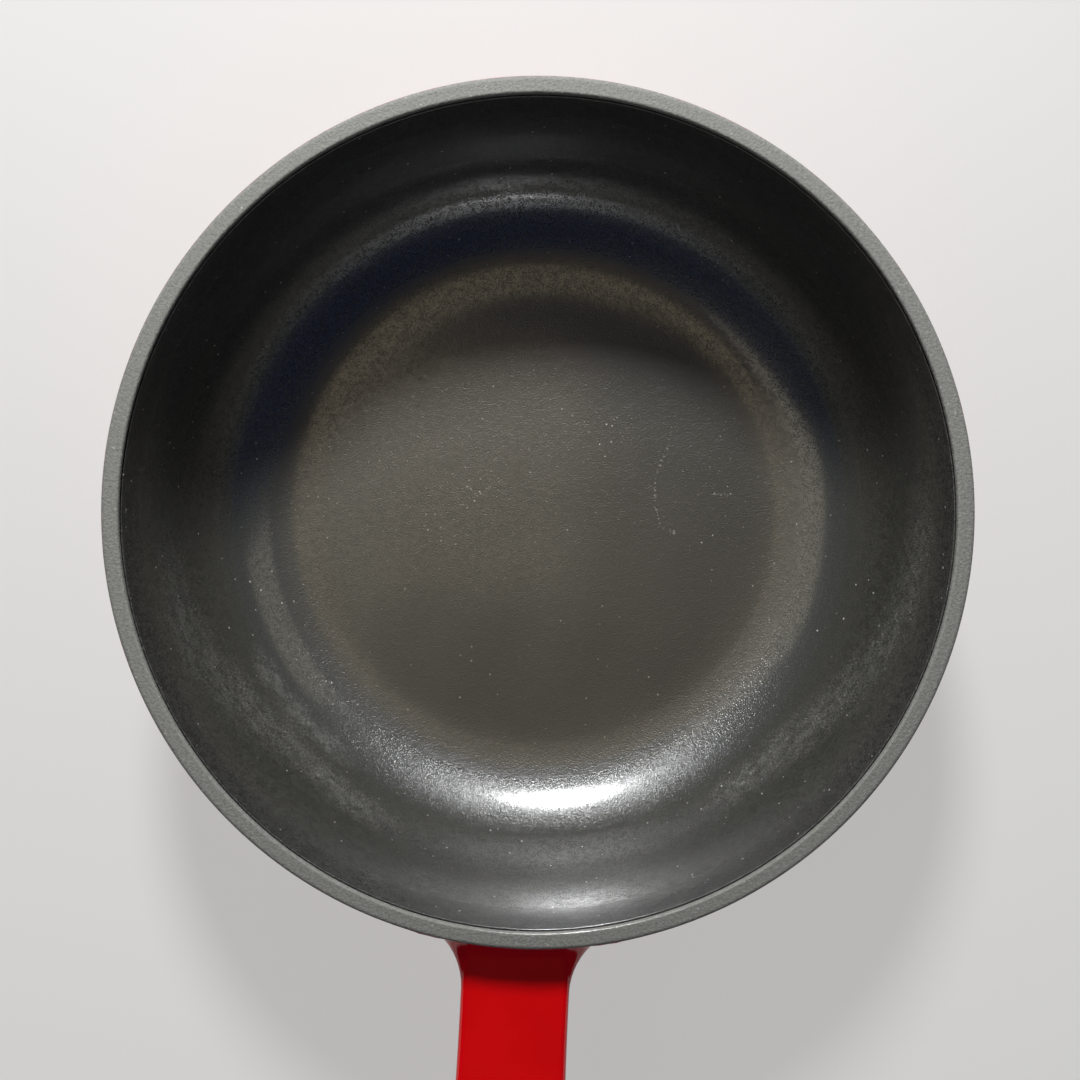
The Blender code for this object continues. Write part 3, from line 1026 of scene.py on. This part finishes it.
def red_material():
    """Gloss red with a faint waviness."""
    material, tree, shader, place = new_material(
        "gloss red outside", Specular_IOR_Level=0.35, Coat_Weight=0.15, Coat_Roughness=0.06
    )
    peel = place_effect(tree, PEBBLE, place, Grain_Size=RED_PEEL)
    clouds = place_effect(tree, CLOUDS, place, Cloud_Size=RED_CLOUDS)
    tree.links.new(mixed(tree, clouds, *REDS), shader.inputs["Base Color"])
    tree.links.new(eased(tree, clouds, WHOLE, RED_ROUGHNESS), shader.inputs["Roughness"])
    bumped(tree, shader, peel, RED_PEEL_DEPTH)
    return material


# Base
BASE_GRAIN = 1.1 * MM
BASE_GRAIN_DEPTH = 0.03 * MM
BASE_CLOUDS = 16 * MM
BASE_SPECKS = {"Spacing": 4.5 * MM, "Speck_Size": 0.35 * MM}
BASE_WEAR = {"Place": (10 * MM, -10 * MM, 0), "Reach": 75 * MM}
BASE_STROKE = {"Stroke_Width": 0.5 * MM, "Stroke_Length": 9 * MM}
BASE_BLACKS = ((0.012, 0.012, 0.012), (0.022, 0.021, 0.020))
BASE_WORN_GREY = (0.07, 0.068, 0.065)
BASE_SPECK_GREY = (0.25, 0.24, 0.23)
BASE_ROUGHNESS = (0.34, 0.44)
BASE_WORN_ROUGHNESS = 0.2


def base_material():
    """Satin black, worn where it has slid about."""
    material, tree, shader, place = new_material("satin black base")
    pebble = place_effect(tree, PEBBLE, place, Grain_Size=BASE_GRAIN)
    clouds = place_effect(tree, CLOUDS, place, Cloud_Size=BASE_CLOUDS)
    specks = place_effect(tree, SPECKS, place, **BASE_SPECKS)
    patch = place_effect(tree, RUB, place, **BASE_WEAR)
    strokes = place_effect(tree, STROKES, place, **BASE_STROKE)
    worn = product(tree, patch, clouds, strokes)
    rubbed = mixed(tree, worn, mixed(tree, clouds, *BASE_BLACKS), BASE_WORN_GREY)
    tree.links.new(mixed(tree, specks, rubbed, BASE_SPECK_GREY), shader.inputs["Base Color"])
    satin = eased(tree, clouds, WHOLE, BASE_ROUGHNESS)
    dulled = calc(tree, "ADD", satin, product(tree, worn, BASE_WORN_ROUGHNESS))
    tree.links.new(dulled, shader.inputs["Roughness"])
    bumped(tree, shader, pebble, BASE_GRAIN_DEPTH)
    return material


# Casting
IRON_GRAIN = 1.0 * MM
IRON_GRAIN_DEPTH = 0.05 * MM
IRON_CLOUDS = 12 * MM
IRON_GREYS = ((0.030, 0.030, 0.032), (0.050, 0.048, 0.046))
IRON_ROUGHNESS = (0.6, 0.75)


def iron_material():
    """Raw iron, under the coats."""
    material, tree, shader, place = new_material("raw cast iron", Metallic=0.8)
    pebble = place_effect(tree, PEBBLE, place, Grain_Size=IRON_GRAIN)
    clouds = place_effect(tree, CLOUDS, place, Cloud_Size=IRON_CLOUDS)
    tree.links.new(mixed(tree, clouds, *IRON_GREYS), shader.inputs["Base Color"])
    tree.links.new(eased(tree, clouds, WHOLE, IRON_ROUGHNESS), shader.inputs["Roughness"])
    bumped(tree, shader, pebble, IRON_GRAIN_DEPTH)
    return material


# Pieces

# How uneven each turned coat is: how high its lumps stand, how wide they are, and a seed
LINING_LUMPS = (0.10 * MM, 24 * MM, 3.0)
RIM_LUMPS = (0.10 * MM, 9 * MM, 7.0)
BASE_LUMPS = (0.06 * MM, 18 * MM, 5.0)


def finish_piece(piece, node):
    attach(piece, "root")
    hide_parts(node)


def make_pieces():
    """The four coats, each in place of its solid, and the casting in its own material."""
    lining = turn_coat("bowl_lining", lining_profile(), lining_material(), *LINING_LUMPS)
    finish_piece(lining, "interior_enamel")
    band = turn_coat("rim_band", rim_band_profile(), rim_material(), *RIM_LUMPS)
    finish_piece(band, "rim_enamel")
    base = turn_coat("base_coat", base_profile(), base_material(), *BASE_LUMPS)
    finish_piece(base, "base_enamel")
    mesh = red_coat_mesh()
    mesh.materials.append(red_material())
    finish_piece(add_piece("red_coat", mesh), "exterior_enamel")
    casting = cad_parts["pan_casting"]
    casting.data.materials.clear()
    casting.data.materials.append(iron_material())


# Floor, which lies a hair under the base so that the base's lumps don't break through it
FLOOR_REACH = 4.0
FLOOR_DROP = 0.08 * MM
FLOOR_CLOUDS = 0.3
FLOOR_PALES = ((0.62, 0.615, 0.60), (0.64, 0.635, 0.62))
FLOOR_GLOW = (0.76, 0.755, 0.74, 1)
FLOOR_GLOW_SHARE = 0.6


def seen_directly(tree):
    """One for what the camera sees, also in gloss or through glass, and nought for falling light."""
    rays = put(tree, "ShaderNodeLightPath").outputs
    return greatest(tree, [rays["Is Camera Ray"], rays["Is Glossy Ray"], rays["Is Transmission Ray"]])


def lifted_floor(tree, shader):
    """Keeps the floor pale where it is seen directly, with the object's shadow still on it."""
    glow = put(tree, "ShaderNodeEmission", {"Color": FLOOR_GLOW})
    share = product(tree, seen_directly(tree), FLOOR_GLOW_SHARE)
    both = put(tree, "ShaderNodeMixShader", {0: share, 1: shader.outputs[0], 2: glow.outputs[0]})
    return both.outputs[0]


def make_floor():
    """A plain pale plane, kept as part of the stage."""
    material, tree, shader, place = new_material("pale floor", Specular_IOR_Level=0.2, Roughness=0.9)
    clouds = place_effect(tree, CLOUDS, place, Cloud_Size=FLOOR_CLOUDS)
    tree.links.new(mixed(tree, clouds, *FLOOR_PALES), shader.inputs["Base Color"])
    tree.links.new(lifted_floor(tree, shader), tree.nodes["Material Output"].inputs["Surface"])
    mesh = bpy.data.meshes.new("floor")
    corners = [(-1, -1), (1, -1), (1, 1), (-1, 1)]
    points = [(x * FLOOR_REACH, y * FLOOR_REACH, -FLOOR_DROP) for x, y in corners]
    mesh.from_pydata(points, [], [(0, 1, 2, 3)])
    mesh.materials.append(material)
    add_object("floor", mesh)


# Surround, by the height of the way looked along, with a warm glow just off the zenith
WARM_TILT = math.radians(11)
WARM_WAY = (0.0, -math.sin(WARM_TILT), math.cos(WARM_TILT))
WARM_SPAN = (math.cos(math.radians(20)), math.cos(math.radians(6)))
UPPER_BLUE = (0.0075, 0.019, 0.058)
WARM_GLOW = (0.10, 0.085, 0.07)
BAND_LIGHT = (0.36, 0.36, 0.37)
BAND_SEEN = (0.82, 0.82, 0.81)
BAND_TO_UPPER = (0.16, 0.30)


def make_world():
    """Dim and blue above, and a pale band low down."""
    world = bpy.data.worlds.new("studio")
    bpy.context.scene.world = world
    world.use_nodes = True
    tree = world.node_tree
    way = put(tree, "ShaderNodeTexCoord").outputs["Generated"]
    height = parted(tree, way)["Z"]
    warm = vectors(tree, "DOT_PRODUCT", way, WARM_WAY)["Value"]
    upper = mixed(tree, eased(tree, warm, WARM_SPAN), UPPER_BLUE, WARM_GLOW)
    band = mixed(tree, seen_directly(tree), BAND_LIGHT, BAND_SEEN)
    light = mixed(tree, eased(tree, height, BAND_TO_UPPER), band, upper)
    tree.links.new(light, tree.nodes["Background"].inputs["Color"])


# Lamps: a small round key, and soft panels round the bowl
KEY_TILT = math.radians(51.5)
KEY_SWING = math.radians(98)
KEY_DISTANCE = 0.6
KEY_SIZE = 0.115
KEY_RADIANCE = 180.0
KEY_COLOUR = (0.98, 0.99, 1.0)

# Each panel as its name, middle, what it faces, size, radiance and colour
PANELS = (
    ("overhead panel", (-0.05, 0.02, 0.55), (-0.05, 0.02, 0), (0.17, 0.19), 0.70, (1.0, 0.82, 0.53)),
    ("left panel", (-0.38, 0.03, 0.55), (-0.38, 0.03, 0), (0.50, 0.44), 0.58, (1.0, 0.91, 0.68)),
    ("right panel", (0.36, 0.17, 0.45), (0, 0, HEIGHT), (0.26, 0.30), 0.5, (1.0, 0.91, 0.68)),
)


def make_lamp(name, place, towards, size, radiance, colour):
    """A lamp of a given brightness that faces a place: a rectangle, or a disk where it has one size."""
    lamp = bpy.data.lights.new(name, "AREA")
    if len(size) > 1:
        lamp.shape = "RECTANGLE"
        lamp.size, lamp.size_y = size
        area = size[0] * size[1]
    else:
        lamp.shape = "DISK"
        lamp.size = size[0]
        area = math.pi * size[0] ** 2 / 4
    lamp.energy = math.pi * area * radiance
    lamp.color = colour
    obj = add_object(name, lamp)
    obj.location = place
    obj.rotation_euler = (Vector(towards) - Vector(place)).to_track_quat("-Z", "Y").to_euler()
    obj.visible_camera = False


def make_lights():
    level = math.sin(KEY_TILT)
    aim = Vector((level * math.cos(KEY_SWING), level * math.sin(KEY_SWING), math.cos(KEY_TILT)))
    middle = Vector((0, 0, HEIGHT))
    make_lamp("key", middle + aim * KEY_DISTANCE, middle, (KEY_SIZE,), KEY_RADIANCE, KEY_COLOUR)
    for panel in PANELS:
        make_lamp(*panel)


# The camera stands over the bowl, turned so that the rim's middle falls on its pixel in the picture
IMAGE_PX = 1080
FOCAL_PX = 1081
RIM_MIDDLE_PX = (538.2, 518.9)
CAMERA_PLACE = Vector((-0.0002, 0.004, 0.3095))
CAMERA_ROLL = math.radians(2.81)
SENSOR_MM = 36
NEAREST_SEEN = 0.01


def make_camera():
    """The camera, set by its place, its roll and the pixel that the rim's middle falls on."""
    data = bpy.data.cameras.new("camera")
    data.sensor_width = SENSOR_MM
    data.lens = SENSOR_MM * FOCAL_PX / IMAGE_PX
    data.clip_start = NEAREST_SEEN
    camera = add_object("camera", data)
    half = IMAGE_PX / 2
    roll = Matrix.Rotation(CAMERA_ROLL, 4, "Z")
    to_pixel = Vector(((RIM_MIDDLE_PX[0] - half) / FOCAL_PX, (half - RIM_MIDDLE_PX[1]) / FOCAL_PX, -1))
    to_rim = roll.inverted() @ (Vector((0, 0, HEIGHT)) - CAMERA_PLACE)
    tilt = to_pixel.rotation_difference(to_rim).to_matrix().to_4x4()
    camera.matrix_world = Matrix.Translation(CAMERA_PLACE) @ roll @ tilt
    bpy.context.scene.camera = camera


make_camera()
make_pieces()
make_floor()
make_world()
make_lights()
bpy.context.scene.view_settings.view_transform = "Standard"
